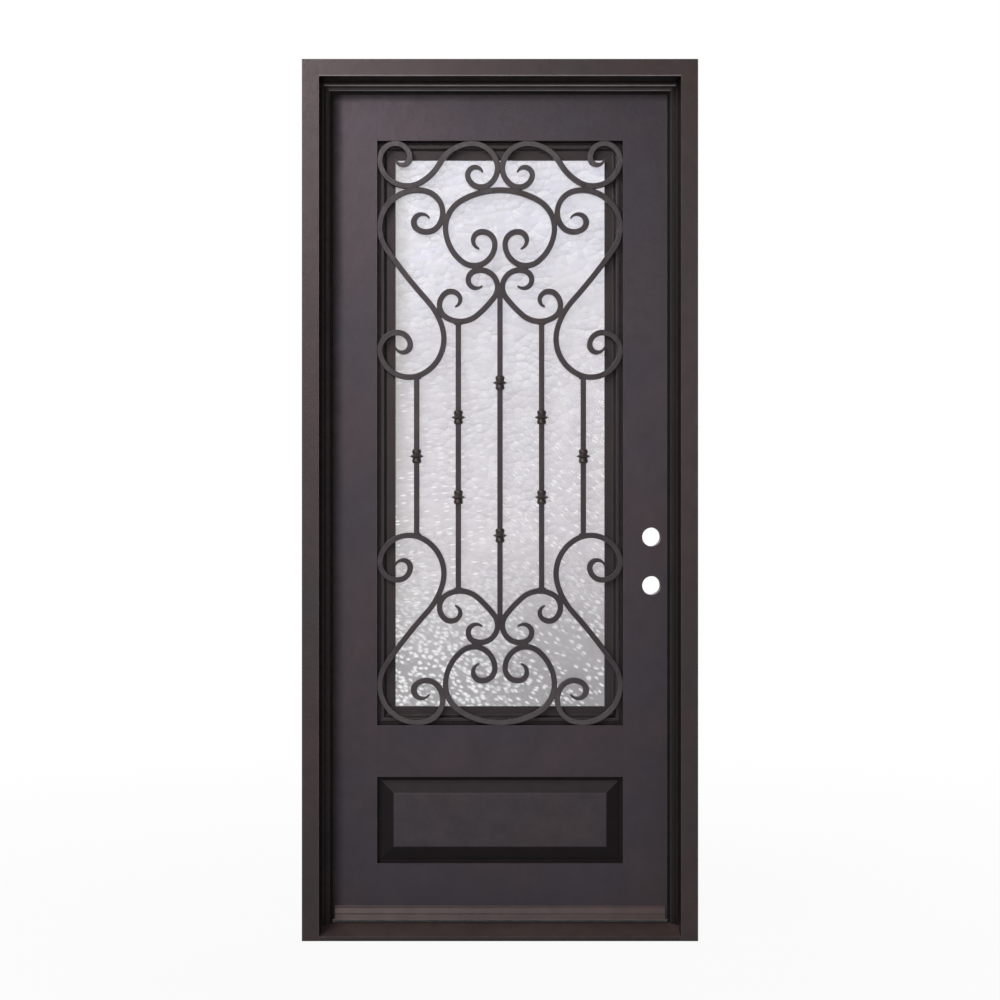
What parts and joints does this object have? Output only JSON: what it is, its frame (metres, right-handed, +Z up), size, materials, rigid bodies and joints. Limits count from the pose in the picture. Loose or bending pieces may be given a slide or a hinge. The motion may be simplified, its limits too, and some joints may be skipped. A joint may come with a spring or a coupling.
{
  "type": "wrought iron entry door in its frame",
  "caption": "Single iron entry door in its jamb and sill: an inward-swinging leaf with a scroll grille over a textured glass sash, a raised kick panel and lock bores.",
  "frame": {"origin": "middle of the sill's underside, half way through the frame's depth", "axes": "+Z up, +X across the opening towards the lock side as seen from outside, -Y outside, +Y inside"},
  "size_m": [1.118, 0.1725, 2.489],
  "materials": {
    "frame_iron": "satin dark bronze",
    "sill_iron": "satin dark brown",
    "leaf_iron": "satin dark bronze",
    "sash_iron": "satin dark bronze",
    "grille_iron": "satin hand forged",
    "hinge_iron": "satin",
    "seal": "matt",
    "glass": "hammered obscure"
  },
  "bodies": {
    "frame": {"hinge_jamb": "frame_iron", "strike_jamb": "frame_iron", "head_jamb": "frame_iron", "threshold": "sill_iron", "hinge_side_stop": "frame_iron", "strike_side_stop": "frame_iron", "head_stop": "frame_iron", "weatherstrip": "seal", "jamb_hinge_1": "hinge_iron", "jamb_hinge_2": "hinge_iron", "jamb_hinge_3": "hinge_iron", "jamb_hinge_4": "hinge_iron"},
    "door_leaf": {"bottom_rail": "leaf_iron", "centre_scroll_lower": "grille_iron", "centre_scroll_upper": "grille_iron", "collars": "grille_iron", "door_sweep": "sill_iron", "glass_pane": "glass", "glazing_bead": "sash_iron", "hinge_stile": "leaf_iron", "leaf_hinge_1": "hinge_iron", "leaf_hinge_2": "hinge_iron", "leaf_hinge_3": "hinge_iron", "leaf_hinge_4": "hinge_iron", "lock_rail": "leaf_iron", "lock_stile": "leaf_iron", "picket_centre": "grille_iron", "picket_inner_left": "grille_iron", "picket_inner_right": "grille_iron", "picket_outer_left": "grille_iron", "picket_outer_right": "grille_iron", "raised_panel": "leaf_iron", "sash_bottom": "sash_iron", "sash_left": "sash_iron", "sash_right": "sash_iron", "sash_top": "sash_iron", "side_scroll_lower_left": "grille_iron", "side_scroll_lower_right": "grille_iron", "side_scroll_upper_left": "grille_iron", "side_scroll_upper_right": "grille_iron", "small_scroll_lower_left": "grille_iron", "small_scroll_lower_right": "grille_iron", "small_scroll_upper_left": "grille_iron", "small_scroll_upper_right": "grille_iron", "top_rail": "leaf_iron", "top_scroll_left": "grille_iron", "top_scroll_right": "grille_iron"}
  },
  "joints": [
    {"name": "leaf_swing", "type": "hinge", "parent": "frame", "child": "door_leaf", "pos_m": [-0.5085, 0.0865, 0], "axis": [0, 0, 1], "range_deg": [0, 110]}
  ]
}
